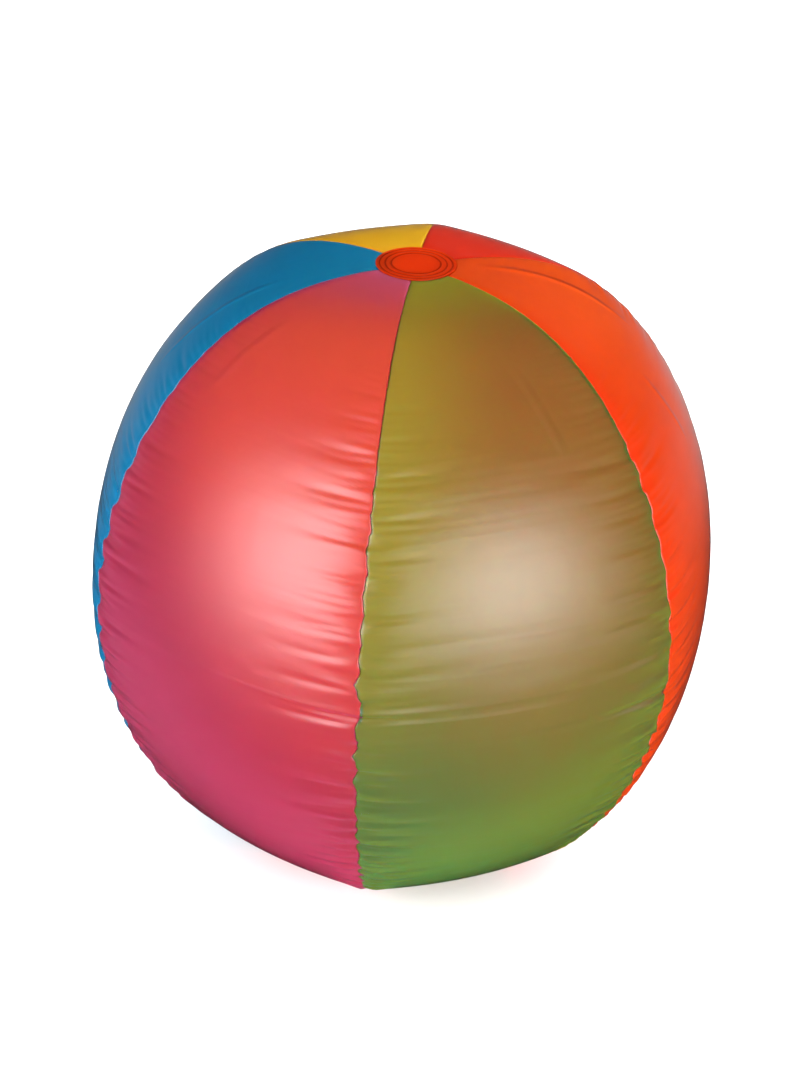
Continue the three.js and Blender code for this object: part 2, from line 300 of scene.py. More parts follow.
# ---- Simulation of the film ----
def pull(near, far, rest, stiffness, push_only=False):
    """Moves two arrays of points towards their distance in the flat film."""
    gap = far - near
    distance = length_of(gap)
    error = distance - rest
    if push_only:
        error = np.minimum(error, 0)
    move = (0.5 * stiffness * error / np.maximum(distance, 1e-6))[..., None] * gap
    near += move
    far -= move


def pairs(array, axis, parity):
    """Two views of an array: every other point from parity on, and the point after each of those."""
    count = array.shape[axis]
    near = [slice(None)] * array.ndim
    far = [slice(None)] * array.ndim
    near[axis] = slice(parity, count - 1, 2)
    far[axis] = slice(parity + 1, count, 2)
    return array[tuple(near)], array[tuple(far)]


def seam_aside(seam):
    """The unit vector across a seam, round the pole axis."""
    turn = math.radians(PANEL_TURN * seam)
    return np.array([-math.sin(turn), math.cos(turn), 0])


def pucker_wave(rows, spacing):
    """A seeded wave along a seam, whose pitch shortens from the upper pole to the lower one."""
    pitch = np.interp(np.linspace(0, 1, rows), PUCKER_PLACES, PUCKER_PITCHES)
    phase = np.cumsum(spacing / pitch)
    count = int(phase[-1] * WAVE_SAMPLES)
    noise = np.fft.rfft(rng.normal(size=count))
    frequency = np.fft.rfftfreq(count, 1 / WAVE_SAMPLES)
    noise *= np.exp(-(((frequency - 1) / WAVE_BAND) ** 2))
    wave = np.fft.irfft(noise, count)
    return np.interp(phase, np.arange(count) / WAVE_SAMPLES, wave / np.std(wave))


def surface_normals(panels):
    """Outward normals of grids of points shaped (panels, rows, columns, 3)."""
    along = np.empty_like(panels)
    across = np.empty_like(panels)
    along[:, 1:-1] = panels[:, 2:] - panels[:, :-2]
    along[:, 0] = panels[:, 1] - panels[:, 0]
    along[:, -1] = panels[:, -1] - panels[:, -2]
    across[:, :, 1:-1] = panels[:, :, 2:] - panels[:, :, :-2]
    across[:, :, 0] = panels[:, :, 1] - panels[:, :, 0]
    across[:, :, -1] = panels[:, :, -1] - panels[:, :, -2]
    return unit(np.cross(along, across))


def weld(panels):
    """Neighbouring panels share one edge."""
    middle = (panels[:, :, -1] + np.roll(panels, -1, 0)[:, :, 0]) / 2
    panels[:, :, -1] = middle
    panels[:, :, 0] = np.roll(middle, 1, 0)


def seed_puckers(panels, margins, across, spacing):
    """Small sideways waves along each seam, so that the gathered edge buckles where real film does."""
    rows = panels.shape[1]
    edge = (1 - np.abs(across)) * HALF_WIDTH
    near = np.exp(-((edge / PUCKER_REACH) ** 2))
    hump = edge / PUCKER_SWELL * np.exp(1 - edge / PUCKER_SWELL) / 2
    fade = np.clip(np.sin(np.linspace(0, math.pi, rows)) * 1.6, 0, 1) * PUCKER_START
    for seam in range(PANEL_COUNT):
        aside = seam_aside(seam)
        sway = pucker_wave(rows, spacing) * fade
        swell = pucker_wave(rows, spacing) * fade
        for panel, side, sign in ((seam, across > 0, 1), ((seam + 1) % PANEL_COUNT, across <= 0, -1)):
            outward = panels[panel] / length_of(panels[panel])[..., None]
            panels[panel] += (sway[:, None] * (near * side))[..., None] * aside
            panels[panel] += (sign * swell[:, None] * (hump * side))[..., None] * outward
        margins[seam] -= sway[:, None] * aside / 2


def blur_matrix(places, width):
    """Weights that average what lies within width of each place."""
    weights = np.exp(-(((places[:, None] - places[None, :]) / width) ** 2) / 2)
    spread = np.gradient(places)
    weights *= spread[None, :]
    return weights / weights.sum(1, keepdims=True)


def ring_blur_matrix(places, around, width):
    """The same on a line that closes on itself after the length around."""
    gap = np.abs(places[:, None] - places[None, :])
    gap = np.minimum(gap, around - gap)
    weights = np.exp(-((gap / width) ** 2) / 2)
    spread = np.gradient(np.concatenate([[places[-1] - around], places, [around]]))[1:-1]
    weights *= spread[None, :]
    return weights / weights.sum(1, keepdims=True)


def keep_shape(moved, spacing, across):
    """What is left of a movement of the panels once its wide, slow part is taken out."""
    columns = len(across) - 1
    ring = np.concatenate([moved[panel][:, :-1] for panel in range(PANEL_COUNT)], 1)
    places = np.concatenate([(across[:-1] + 1 + 2 * panel) * HALF_WIDTH for panel in range(PANEL_COUNT)])
    along = blur_matrix(np.arange(ring.shape[0]) * spacing, SHAPE_BLUR_ALONG)
    around = ring_blur_matrix(places, 2 * PANEL_COUNT * HALF_WIDTH, SHAPE_BLUR_ACROSS)
    slow = np.einsum("ab,bcd->acd", along, ring)
    slow = np.einsum("ce,aed->acd", around, slow)
    quick = (ring - slow) * PUCKER_GAIN
    size = length_of(quick)[..., None]
    quick *= np.tanh(size / PUCKER_LIMIT) * PUCKER_LIMIT / np.maximum(size, 1e-9)
    closed = np.concatenate([quick, quick[:, :1]], 1)
    return np.stack([closed[:, columns * panel:columns * (panel + 1) + 1] for panel in range(PANEL_COUNT)])


def flat_lengths(flat):
    """Distances between neighbouring points of the flat film, by their direction."""
    return {
        "along": length_of(flat[1:] - flat[:-1]),
        "across": length_of(flat[:, 1:] - flat[:, :-1]),
        "down": length_of(flat[1:, 1:] - flat[:-1, :-1]),
        "up": length_of(flat[1:, :-1] - flat[:-1, 1:]),
        "bend": length_of(flat[2:] - flat[:-2]),
    }


def relax(panels, margins, rest, width):
    """One round of pulling all neighbours, in the panels and in the margins behind the seams."""
    edge = rest["along"][:, 0]
    for parity in (0, 1):
        rows = slice(parity, ROWS - 1, 2)
        near, far = pairs(panels, 1, parity)
        margin_near, margin_far = pairs(margins, 1, parity)
        pull(near, far, rest["along"][rows], STRETCHING)
        pull(near[:, :, :-1], far[:, :, 1:], rest["down"][rows], SHEARING)
        pull(near[:, :, 1:], far[:, :, :-1], rest["up"][rows], SHEARING)
        pull(margin_near, margin_far, edge[rows], STRETCHING)
        slant = np.hypot(edge[rows], width[rows])
        pull(near[:, :, -1], margin_far, slant, MARGIN_SHEARING)
        pull(far[:, :, -1], margin_near, slant, MARGIN_SHEARING)
        near, far = pairs(panels, 2, parity)
        pull(near, far, rest["across"][:, parity::2], STRETCHING)
    pull(panels[:, :, -1], margins, width, STRETCHING)
    for parity in range(4):
        near = panels[:, parity:ROWS - 2:4]
        far = panels[:, parity + 2:ROWS:4]
        pull(near, far, rest["bend"][parity::4], BENDING, push_only=True)


def inflate():
    """Six panels of flat-cut film, welded and blown up: their surfaces and the margins' inner edges.

    Seam number n is the right edge of panel n, at n times PANEL_TURN round the pole axis.
    """
    angles, spacing = even_angles(ROWS)
    steps = np.linspace(0, 1, HALF_COLUMNS) ** COLUMN_CROWDING
    across = np.concatenate([steps - 1, 1 - steps[::-1][1:]])
    panel, half_cut = panel_grid(angles, across)
    middle = panel[:, HALF_COLUMNS - 1]
    cut_length = np.concatenate([[0], np.cumsum(length_of(np.diff(middle, axis=0)))])
    flat = np.stack([across * half_cut[:, None], np.repeat(cut_length[:, None], len(across), 1)], -1)

    radius, height, out_r, out_z, _ = seam_line(angles)
    width = MARGIN * np.minimum(1, 0.25 + 0.75 * radius / MARGIN_FULL_RADIUS)
    inner = np.stack([radius - width * out_r, 0 * radius, height - width * out_z], -1)

    turns = [PANEL_TURN * number for number in range(PANEL_COUNT)]
    shape = np.stack([spin(panel, turn - PANEL_TURN / 2) for turn in turns]).astype(np.float32)
    lines = np.stack([spin(inner, turn) for turn in turns]).astype(np.float32)
    panels = shape.copy()
    margins = lines.copy()
    seed_puckers(panels, margins, across, spacing)

    rest = flat_lengths(flat)
    ends = panels[:, [0, -1]].copy()
    before = panels.copy()
    margins_before = margins.copy()
    for _ in range(STEPS):
        speed = (panels - before) * DRAG
        margin_speed = (margins - margins_before) * DRAG
        before[...] = panels
        margins_before[...] = margins
        panels += speed + PRESSURE * surface_normals(panels)
        margins += margin_speed
        relax(panels, margins, rest, width)
        weld(panels)
        panels[:, [0, -1]] = ends

    change = keep_shape(panels - shape, spacing, across)
    fade = np.minimum(1, np.arange(ROWS) * spacing / END_FADE)
    fade *= fade[::-1]
    change *= fade[:, None, None]
    along = blur_matrix(np.arange(ROWS) * spacing, SHAPE_BLUR_ALONG)
    margin_change = margins - lines
    margin_change -= np.einsum("ab,cbd->cad", along, margin_change)
    margin_change *= fade[:, None]
    surfaces = shape + change
    margins = lines + margin_change
    scallop_seams(surfaces, margins, across, spacing)
    ripple_edges(surfaces, across, spacing)
    return surfaces, margins, across


def scallop_seams(surfaces, margins, across, spacing):
    """Short dents along each seam: the seam dips and sways, and the film beside it follows."""
    rows = surfaces.shape[1]
    down = np.linspace(0, 1, rows)
    strength = np.interp(down, *SCALLOP_STRENGTH)
    edge = (1 - np.abs(across)) * HALF_WIDTH
    near = np.exp(-((edge / SCALLOP_REACH) ** 1.3))
    for seam in range(PANEL_COUNT):
        aside = seam_aside(seam)
        wave = pucker_wave(rows, spacing)
        dent = np.tanh(wave) * 0.5 + 0.5
        sway = np.gradient(dent)
        sway = sway / np.std(sway) * SCALLOP_SWAY * strength
        dent = dent**1.5 * SCALLOP_DEPTH * strength
        outward = unit(surfaces[seam][:, -1] - margins[seam])
        shift = sway[:, None] * aside - dent[:, None] * outward
        margins[seam] += shift
        for panel, side in ((seam, across > 0), ((seam + 1) % PANEL_COUNT, across <= 0)):
            surfaces[panel] += (near * side)[None, :, None] * shift[:, None]


def ripple_edges(surfaces, across, spacing):
    """Short gathers in the film beside each seam, deepest over the lower half."""
    rows = surfaces.shape[1]
    depth = np.interp(np.linspace(0, 1, rows), *RIPPLE_DEPTHS)
    edge = (1 - np.abs(across)) * HALF_WIDTH
    hump = edge / RIPPLE_REACH * np.exp(1 - edge / RIPPLE_REACH)
    outward = surface_normals(surfaces)
    for panel in range(PANEL_COUNT):
        for side in (across > 0, across <= 0):
            ripple = np.tanh(pucker_wave(rows, spacing * RIPPLE_CLOSENESS)) * depth
            surfaces[panel] += (ripple[:, None] * (hump * side))[..., None] * outward[panel]


# ---- Meshes ----
def make_mesh(name, points, faces, flat_faces=()):
    """A smooth mesh object from points in millimetres; flat_faces stay flat."""
    mesh = bpy.data.meshes.new(name)
    every = list(faces) + list(flat_faces)
    mesh.from_pydata([tuple(point) for point in np.asarray(points) * MM], [], every)
    smooth = np.ones(len(every), bool)
    smooth[len(faces):] = False
    mesh.polygons.foreach_set("use_smooth", smooth)
    mesh.validate()
    piece = bpy.data.objects.new(name, mesh)
    bpy.context.scene.collection.objects.link(piece)
    return piece


def grid_faces(numbers):
    """Squares between neighbouring entries of a grid of point numbers."""
    corners = [numbers[:-1, :-1], numbers[1:, :-1], numbers[1:, 1:], numbers[:-1, 1:]]
    return np.stack(corners, -1).reshape(-1, 4).tolist()


def shell(name, centre, half_thickness):
    """A closed film: a grid of centre points (rows, columns) given its thickness both ways."""
    normals = surface_normals(centre[None])[0]
    outer = centre + normals * half_thickness[:, None, None]
    inner = centre - normals * half_thickness[:, None, None]
    rows, columns = centre.shape[:2]
    above = np.arange(rows * columns).reshape(rows, columns)
    below = above + rows * columns
    skins = grid_faces(above) + grid_faces(below[:, ::-1])
    rims = []
    for top, bottom in ((below[0], above[0]), (above[-1], below[-1]),
                        (above[:, 0], below[:, 0]), (below[:, -1], above[:, -1])):
        rims += np.stack([top[:-1], top[1:], bottom[1:], bottom[:-1]], -1).tolist()
    points = np.concatenate([outer.reshape(-1, 3), inner.reshape(-1, 3)])
    return make_mesh(name, points, skins, rims)


def round_corner(before, corner, after, turn):
    """Three points round the corner that each row makes between its margin and its panel."""
    down = corner + unit(before - corner) * turn
    out = corner + unit(after - corner) * turn
    return [down, (down + 2 * corner + out) / 4, out]


def film_section(surface, left_line, right_line, across):
    """A panel's film from margin to margin: each row's centre points, and half its thickness.

    The edges stand off the seam by half the film, and turn into their margins in a small round.
    """
    first = length_of(surface[:, 1] - surface[:, 0])
    thickness = np.minimum(FILM, 0.8 * first)
    aside = (thickness + WELD_GAP) / 2
    lines = {}
    shifts = {}
    for side, line, edge, next_column in (("left", left_line, 0, 1), ("right", right_line, -1, -2)):
        seam = surface[:, edge]
        along = unit(np.gradient(seam, axis=0))
        inward = line - seam
        away = np.cross(along, inward)
        away *= np.sign(np.sum(away * (surface[:, next_column] - seam), -1))[:, None]
        shifts[side] = unit(away) * aside[:, None]
        lines[side] = line + shifts[side]
    share = ((across + 1) / 2)[None, :, None]
    film = surface + shifts["left"][:, None] * (1 - share) + shifts["right"][:, None] * share
    turn = np.minimum(EDGE_ROUNDING, CORNER_SHARE * first)[:, None]
    left = [lines["left"], *round_corner(lines["left"], film[:, 0], film[:, 1], turn)]
    right = [lines["right"], *round_corner(lines["right"], film[:, -1], film[:, -2], turn)][::-1]
    columns = left + [film[:, column] for column in range(1, film.shape[1] - 1)] + right
    return np.stack(columns, 1), thickness / 2


def face_outward(piece):
    """Turns every face of a closed piece outward."""
    mesh = bmesh.new()
    mesh.from_mesh(piece.data)
    bmesh.ops.recalc_face_normals(mesh, faces=mesh.faces)
    mesh.to_mesh(piece.data)
    mesh.free()


def rounded(profile, radius):
    """A closed profile whose corners are rounded off, at most half way along their sides."""
    steps = 4
    corners = [np.array(point, float) for point in profile]
    result = []
    for number, corner in enumerate(corners):
        if corner[0] == 0:
            result.append(corner)
            continue
        ends = []
        for neighbour in (corners[number - 1], corners[(number + 1) % len(corners)]):
            side = neighbour - corner
            length = math.hypot(*side)
            ends.append(corner + side * min(radius, length * 0.45) / length)
        for step in range(steps + 1):
            share = step / steps
            bend = 2 * share * (1 - share) * corner
            result.append((1 - share) ** 2 * ends[0] + bend + share**2 * ends[1])
    return result


def lathe(name, profile, sides=96):
    """A closed profile of (radius, height) points turned about +Z; a point of radius 0 is a pole."""
    points = []
    rings = []
    for radius, height in profile:
        if radius == 0:
            rings.append([len(points)] * (sides + 1))
            points.append((0, 0, height))
            continue
        ring = [len(points) + side for side in range(sides)]
        rings.append(ring + ring[:1])
        for side in range(sides):
            turn = 2 * math.pi * side / sides
            points.append((radius * math.cos(turn), radius * math.sin(turn), height))
    faces = []
    for ring, following in zip(rings, rings[1:] + rings[:1]):
        for side in range(sides):
            corners = [ring[side], ring[side + 1], following[side + 1], following[side]]
            corners = list(dict.fromkeys(corners))
            if len(corners) > 2:
                faces.append(corners)
    piece = make_mesh(name, points, faces)
    face_outward(piece)
    return piece


def valve_lathe(name, profile, rounding=0.15):
    """A profile of (radius, depth) points turned about the valve's axis."""
    piece = lathe(name, rounded([(radius, -depth) for radius, depth in profile], rounding))
    place = Matrix.Translation((0, VALVE_FACE * MM, 0))
    piece.data.transform(place @ Matrix.Rotation(-math.pi / 2, 4, "X"))
    return piece


def apply_modifiers(piece):
    """Makes what the modifiers show the piece's own mesh."""
    graph = bpy.context.evaluated_depsgraph_get()
    piece.data = bpy.data.meshes.new_from_object(piece.evaluated_get(graph))
    piece.modifiers.clear()


def combine(piece, other, operation):
    """Joins or cuts a closed piece with another, which is then removed."""
    modifier = piece.modifiers.new("combine", "BOOLEAN")
    modifier.operation = operation
    modifier.solver = "EXACT"
    modifier.object = other
    apply_modifiers(piece)
    bpy.data.objects.remove(other)


def rounded_box(name, low, high, rounding):
    """A box between two corners, with rounded edges."""
    corners = [(x, y, z) for x in (low[0], high[0]) for y in (low[1], high[1]) for z in (low[2], high[2])]
    faces = [(0, 1, 3, 2), (4, 6, 7, 5), (0, 4, 5, 1), (2, 3, 7, 6), (0, 2, 6, 4), (1, 5, 7, 3)]
    box = make_mesh(name, corners, faces)
    bevel = box.modifiers.new("round", "BEVEL")
    bevel.width = rounding * MM
    bevel.segments = 3
    apply_modifiers(box)
    face_outward(box)
    return box


# ---- Materials ----
def add(tree, kind, inputs=(), **settings):
    """A shader node with its settings and inputs; an input is a value or another node's socket."""
    made = tree.nodes.new("ShaderNode" + kind)
    for key, value in settings.items():
        setattr(made, key, value)
    for key, value in dict(inputs).items():
        if isinstance(value, bpy.types.NodeSocket):
            tree.links.new(value, made.inputs[key])
        else:
            made.inputs[key].default_value = value
    return made


def new_material(name):
    """A material with an empty node tree, and that tree."""
    material = bpy.data.materials.new(name)
    material.use_nodes = True
    material.node_tree.nodes.clear()
    return material, material.node_tree


def times(tree, first, second):
    """The product of two numbers or sockets."""
    return add(tree, "Math", {0: first, 1: second}, operation="MULTIPLY").outputs[0]


def ramp(tree, value, near, far, at_near, at_far):
    """A smooth change from at_near to at_far while value goes from near to far."""
    inputs = {"Value": value, "From Min": near, "From Max": far, "To Min": at_near, "To Max": at_far}
    return add(tree, "MapRange", inputs, interpolation_type="SMOOTHSTEP").outputs[0]


def depth_along(tree, place, axis):
    """How far a place lies along a direction."""
    return add(tree, "VectorMath", {0: place, 1: axis}, operation="DOT_PRODUCT").outputs["Value"]


def ring_shade(tree, place, radii):
    """1 away from rings of these radii about the pole axis, and darker on them: painted shade for the
    pressed grooves.
    """
    flat = add(tree, "VectorMath", {0: place, 1: (1, 1, 0)}, operation="MULTIPLY").outputs[0]
    radius = add(tree, "VectorMath", {0: flat}, operation="LENGTH").outputs["Value"]
    shade = None
    for ring in radii:
        gap = add(tree, "Math", {0: radius, 1: ring * MM}, operation="SUBTRACT").outputs[0]
        gap = add(tree, "Math", {0: gap}, operation="ABSOLUTE").outputs[0]
        line = ramp(tree, gap, 0.0, RING_SHADE_WIDTH, RING_SHADE, 1.0)
        shade = line if shade is None else times(tree, shade, line)
    return shade


def direction(azimuth, elevation):
    """The unit vector at an azimuth from +X and an elevation, both in degrees."""
    azimuth = math.radians(azimuth)
    elevation = math.radians(elevation)
    return Vector((math.cos(azimuth) * math.cos(elevation), math.sin(azimuth) * math.cos(elevation),
                   math.sin(elevation)))


def fold_height(tree, place, start, end):
    """A faint straight crease between two directions seen from the ball's centre, fading at its ends."""
    start = direction(*start)
    end = direction(*end)
    half_length = (end - start).length * FOLD_RADIUS / 2
    aside = depth_along(tree, place, start.cross(end).normalized())
    aside = add(tree, "Math", {0: aside}, operation="ABSOLUTE").outputs[0]
    middle = (start + end) * FOLD_RADIUS / 2
    away = add(tree, "VectorMath", {0: place, 1: middle}, operation="DISTANCE").outputs["Value"]
    ridge = ramp(tree, aside, 0.0, FOLD_WIDTH, 1.0, 0.0)
    fade = ramp(tree, away, half_length / 2, half_length, 1.0, 0.0)
    return times(tree, ridge, fade)


def film_bump(tree, place, folds):
    """Fine grain, shallow waves and creases from packing."""
    grain = add(tree, "TexNoise", {"Vector": place, "Scale": 1400.0, "Detail": 2.0}).outputs["Fac"]
    wave = add(tree, "TexNoise", {"Vector": place, "Scale": 70.0, "Detail": 3.0}).outputs["Fac"]
    heights = [(grain, 0.15, 0.0001), (wave, 0.25, 0.0006)]
    heights += [(fold_height(tree, place, start, end), 0.7, FOLD_HEIGHT) for start, end in folds]
    normal = None
    for height, strength, distance in heights:
        bump = add(tree, "Bump", {"Height": height, "Strength": strength, "Distance": distance})
        if normal is not None:
            tree.links.new(normal, bump.inputs["Normal"])
        normal = bump.outputs["Normal"]
    return normal


def film_material(name, body, tint, cover, rings=(), folds=()):
    """Soft vinyl film: body is the colour it scatters, and tint colours what is seen through it.

    The film is a closed shell, so each of its two skins has half of the tint and of the cover.
    """
    material, tree = new_material(name)
    place = add(tree, "TexCoord").outputs["Object"]
    mottle = add(tree, "TexNoise", {"Vector": place, "Scale": 55.0, "Detail": 4.0}).outputs["Fac"]
    shade = add(tree, "MapRange", {"Value": mottle, "To Min": 0.9, "To Max": 1.1}).outputs["Result"]
    colour = add(tree, "VectorMath", {0: body, "Scale": shade}, operation="SCALE").outputs["Vector"]
    bump = film_bump(tree, place, folds)
    skin_tint = [value**0.5 for value in tint]
    skin_cover = 1 - (1 - cover) ** 0.5
    seen = (*skin_tint, 1)
    if rings:
        # painted shade: on the pressed rings both the scattered colour and what is seen through are darkened
        line = ring_shade(tree, place, rings)
        colour = add(tree, "VectorMath", {0: colour, "Scale": line}, operation="SCALE").outputs["Vector"]
        seen = add(tree, "VectorMath", {0: skin_tint, "Scale": line}, operation="SCALE").outputs["Vector"]
    see = add(tree, "BsdfRefraction", {
        "Color": seen, "Roughness": HAZE_ROUGHNESS, "IOR": 1.35, "Normal": bump})
    glow = add(tree, "BsdfTranslucent", {"Color": colour, "Normal": bump})
    face = add(tree, "BsdfDiffuse", {"Color": colour, "Normal": bump})
    scatter = add(tree, "MixShader", {0: SURFACE_SHARE, 1: glow.outputs[0], 2: face.outputs[0]})
    through = add(tree, "MixShader", {0: skin_cover, 1: see.outputs[0], 2: scatter.outputs[0]})
    gloss = add(tree, "BsdfGlossy", {"Roughness": GLOSS_ROUGHNESS, "Normal": bump},
                distribution="BECKMANN")
    rim = add(tree, "Fresnel", {"IOR": 1.5, "Normal": bump})
    film = add(tree, "MixShader", {0: rim.outputs[0], 1: through.outputs[0], 2: gloss.outputs[0]})
    add(tree, "OutputMaterial", {"Surface": film.outputs[0]})
    return material


def clear_vinyl(name):
    """Thick, faintly milky soft vinyl of the valve."""
    material, tree = new_material(name)
    place = add(tree, "TexCoord").outputs["Object"]
    cloud = add(tree, "TexNoise", {"Vector": place, "Scale": 260.0, "Detail": 3.0}).outputs["Fac"]
    rough = add(tree, "MapRange", {"Value": cloud, "To Min": 0.18, "To Max": 0.3}).outputs["Result"]
    bump = add(tree, "Bump", {"Height": cloud, "Strength": 0.2, "Distance": 0.0002}).outputs["Normal"]
    shader = add(tree, "BsdfPrincipled", {
        "Base Color": (0.90, 0.92, 0.90, 1), "Roughness": rough, "IOR": 1.5,
        "Transmission Weight": 0.7, "Normal": bump})
    add(tree, "OutputMaterial", {"Surface": shader.outputs[0]})
    return material


# ---- Stage ----
def except_reflected(tree, value, reflected):
    """A value that is another for rays that a gloss reflects, as in a studio with dark walls."""
    path = add(tree, "LightPath").outputs
    outside = add(tree, "Math", {0: 1.0, 1: path["Is Transmission Ray"]}, operation="SUBTRACT")
    gloss = times(tree, path["Is Glossy Ray"], outside.outputs[0])
    return add(tree, "MapRange", {"Value": gloss, "To Min": value, "To Max": reflected}).outputs[0]


def floor_material(behind):
    """White paper that a gloss sees as dark near the ball, with a lit patch in front of the ball."""
    material, tree = new_material("floor_paper")
    place = add(tree, "TexCoord").outputs["Object"]
    depth = depth_along(tree, place, behind)
    reflected = ramp(tree, depth, *FLOOR_BACKDROP, FLOOR_REFLECTED, BACKDROP_REFLECTED)
    shade = except_reflected(tree, FLOOR_SHADE, reflected)
    face = add(tree, "BsdfDiffuse", {"Color": shade})
    patch = Vector((-behind.x * FLOOR_GLOW_AHEAD, -behind.y * FLOOR_GLOW_AHEAD, cad_box[0].z))
    away = add(tree, "VectorMath", {0: place, 1: patch}, operation="DISTANCE").outputs["Value"]
    power = ramp(tree, away, 0.0, FLOOR_GLOW_REACH, FLOOR_GLOW, 0.0)
    power = times(tree, add(tree, "LightPath").outputs["Is Diffuse Ray"], power)
    glow = add(tree, "Emission", {"Strength": power})
    both = add(tree, "AddShader", {0: face.outputs[0], 1: glow.outputs[0]})
    add(tree, "OutputMaterial", {"Surface": both.outputs[0]})
    material.cycles.emission_sampling = "NONE"
    return material


def add_camera():
    """Adds the camera, and returns the way it faces: its right, up and back."""
    data = bpy.data.cameras.new("camera")
    data.lens = CAMERA_LENS
    camera = bpy.data.objects.new("camera", data)
    bpy.context.scene.collection.objects.link(camera)
    azimuth = math.radians(CAMERA_AZIMUTH)
    elevation = math.radians(CAMERA_ELEVATION)
    level = math.cos(elevation)
    back = Vector((math.sin(azimuth) * level, -math.cos(azimuth) * level, math.sin(elevation)))
    roll = Matrix.Rotation(math.radians(CAMERA_ROLL), 3, "Z")
    facing = (-back).to_track_quat("-Z", "Y").to_matrix() @ roll
    aim = facing @ Vector((AIM_RIGHT, AIM_UP, 0))
    camera.matrix_world = Matrix.Translation(aim + back * CAMERA_DISTANCE) @ facing.to_4x4()
    bpy.context.scene.camera = camera
    return facing


def add_softbox(facing, name, toward, distance, size, power, seen_in_gloss):
    """A soft light in a direction given to the camera's right, up and back."""
    data = bpy.data.lights.new(name, "AREA")
    data.shape = "RECTANGLE"
    data.size = size[0]
    data.size_y = size[1]
    data.energy = power
    lamp = bpy.data.objects.new(name, data)
    lamp.visible_camera = False
    lamp.visible_glossy = seen_in_gloss
    bpy.context.scene.collection.objects.link(lamp)
    place = facing @ Vector(toward).normalized() * distance
    lamp.location = place
    lamp.rotation_mode = "QUATERNION"
    lamp.rotation_quaternion = (-place).to_track_quat("-Z", "Y")


def add_world(behind):
    """Even white light, dark for a gloss except for a white backdrop behind the ball."""
    world = bpy.data.worlds.new("studio")
    world.use_nodes = True
    tree = world.node_tree
    tree.nodes.clear()
    depth = depth_along(tree, add(tree, "TexCoord").outputs["Generated"], behind)
    reflected = ramp(tree, depth, *BACKDROP_SPREAD, WORLD_REFLECTED, BACKDROP_REFLECTED)
    strength = except_reflected(tree, WORLD_LIGHT, reflected)
    background = add(tree, "Background", {"Color": (1, 1, 1, 1), "Strength": strength})
    add(tree, "OutputWorld", {"Surface": background.outputs[0]})
    world.cycles.sampling_method = "NONE"
    bpy.context.scene.world = world


def add_floor(behind):
    """A wide sheet of paper under the ball."""
    level = cad_box[0].z / MM
    corners = [(x * FLOOR_HALF, y * FLOOR_HALF, level) for x, y in ((-1, -1), (1, -1), (1, 1), (-1, 1))]
    floor = make_mesh("floor", corners, [], [[0, 1, 2, 3]])
    floor.data.materials.append(floor_material(Vector((behind.x, behind.y, 0)).normalized()))


def add_stage(facing):
    """The studio: world, floor and softboxes."""
    behind = -(facing @ Vector((0, 0, 1)))
    add_world(behind)
    bpy.context.scene.view_settings.view_transform = "Standard"
    add_floor(behind)
    for softbox in SOFTBOXES:
        add_softbox(facing, *softbox)


# ---- Assembly ----
def dress(piece, material, node, body=None):
    """Puts a piece in the place of a CAD node; without a body it is blended between two later."""
    piece.data.materials.clear()
    piece.data.materials.append(material)
    if body:
        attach(piece, body)
    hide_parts(node)


def press_weld_band(surface):
    """Sinks the ring round the valve where the base is welded to the film."""
    from_axis = np.hypot(surface[..., 0], surface[..., 2])
    inner, outer = WELD_BAND
    band = np.clip((from_axis - inner) / WELD_BAND_SLOPE, 0, 1)
    band = band * np.clip((outer - from_axis) / WELD_BAND_SLOPE, 0, 1)
    front = surface[..., 1] > 0
    normals = surface_normals(surface[None])[0]
    return surface - normals * (band * front * WELD_BAND_DEPTH)[..., None]


def refine_middle(surface, across):
    """The yellow panel with more columns in its middle, for the weld round the valve."""
    reach = WELD_REACH / HALF_WIDTH
    keep = across[np.abs(across) > reach]
    fine = np.linspace(-reach, reach, WELD_COLUMNS)
    columns = np.sort(np.concatenate([keep, fine]))
    angles, _ = even_angles(ROWS)
    change = surface - spin(panel_grid(angles, across)[0], VALVE_AZIMUTH)
    rows = [[np.interp(columns, across, line) for line in row.T] for row in change]
    refined = spin(panel_grid(angles, columns)[0], VALVE_AZIMUTH) + np.transpose(rows, (0, 2, 1))
    return refined, columns


def add_panels():
    """The six films, by colour; they are dressed once the valve's hole is cut."""
    surfaces, lines, across = inflate()
    films = {}
    for number, (colour, *_) in enumerate(PANELS):
        surface = surfaces[number]
        grid_across = across
        if colour == "yellow":
            surface, grid_across = refine_middle(surface, across)
            surface = press_weld_band(surface)
        centre, half = film_section(surface, lines[number - 1], lines[number], grid_across)
        films[colour] = shell("film_" + colour, centre, half)
    return films


def drill_valve_hole(yellow):
    """Cuts the round hole that the valve sits in."""
    profile = [(0, -10), (VALVE_HOLE_RADIUS, -10), (VALVE_HOLE_RADIUS, 10), (0, 10)]
    combine(yellow, valve_lathe("drill", profile, 0.0001), "DIFFERENCE")


def dress_panels(films):
    """Gives each film its own vinyl, in the place of its CAD panel."""
    for colour, *look in PANELS:
        material = film_material("vinyl_" + colour, *look, folds=FOLDS[colour])
        dress(films[colour], material, "panel_" + colour, "ball")


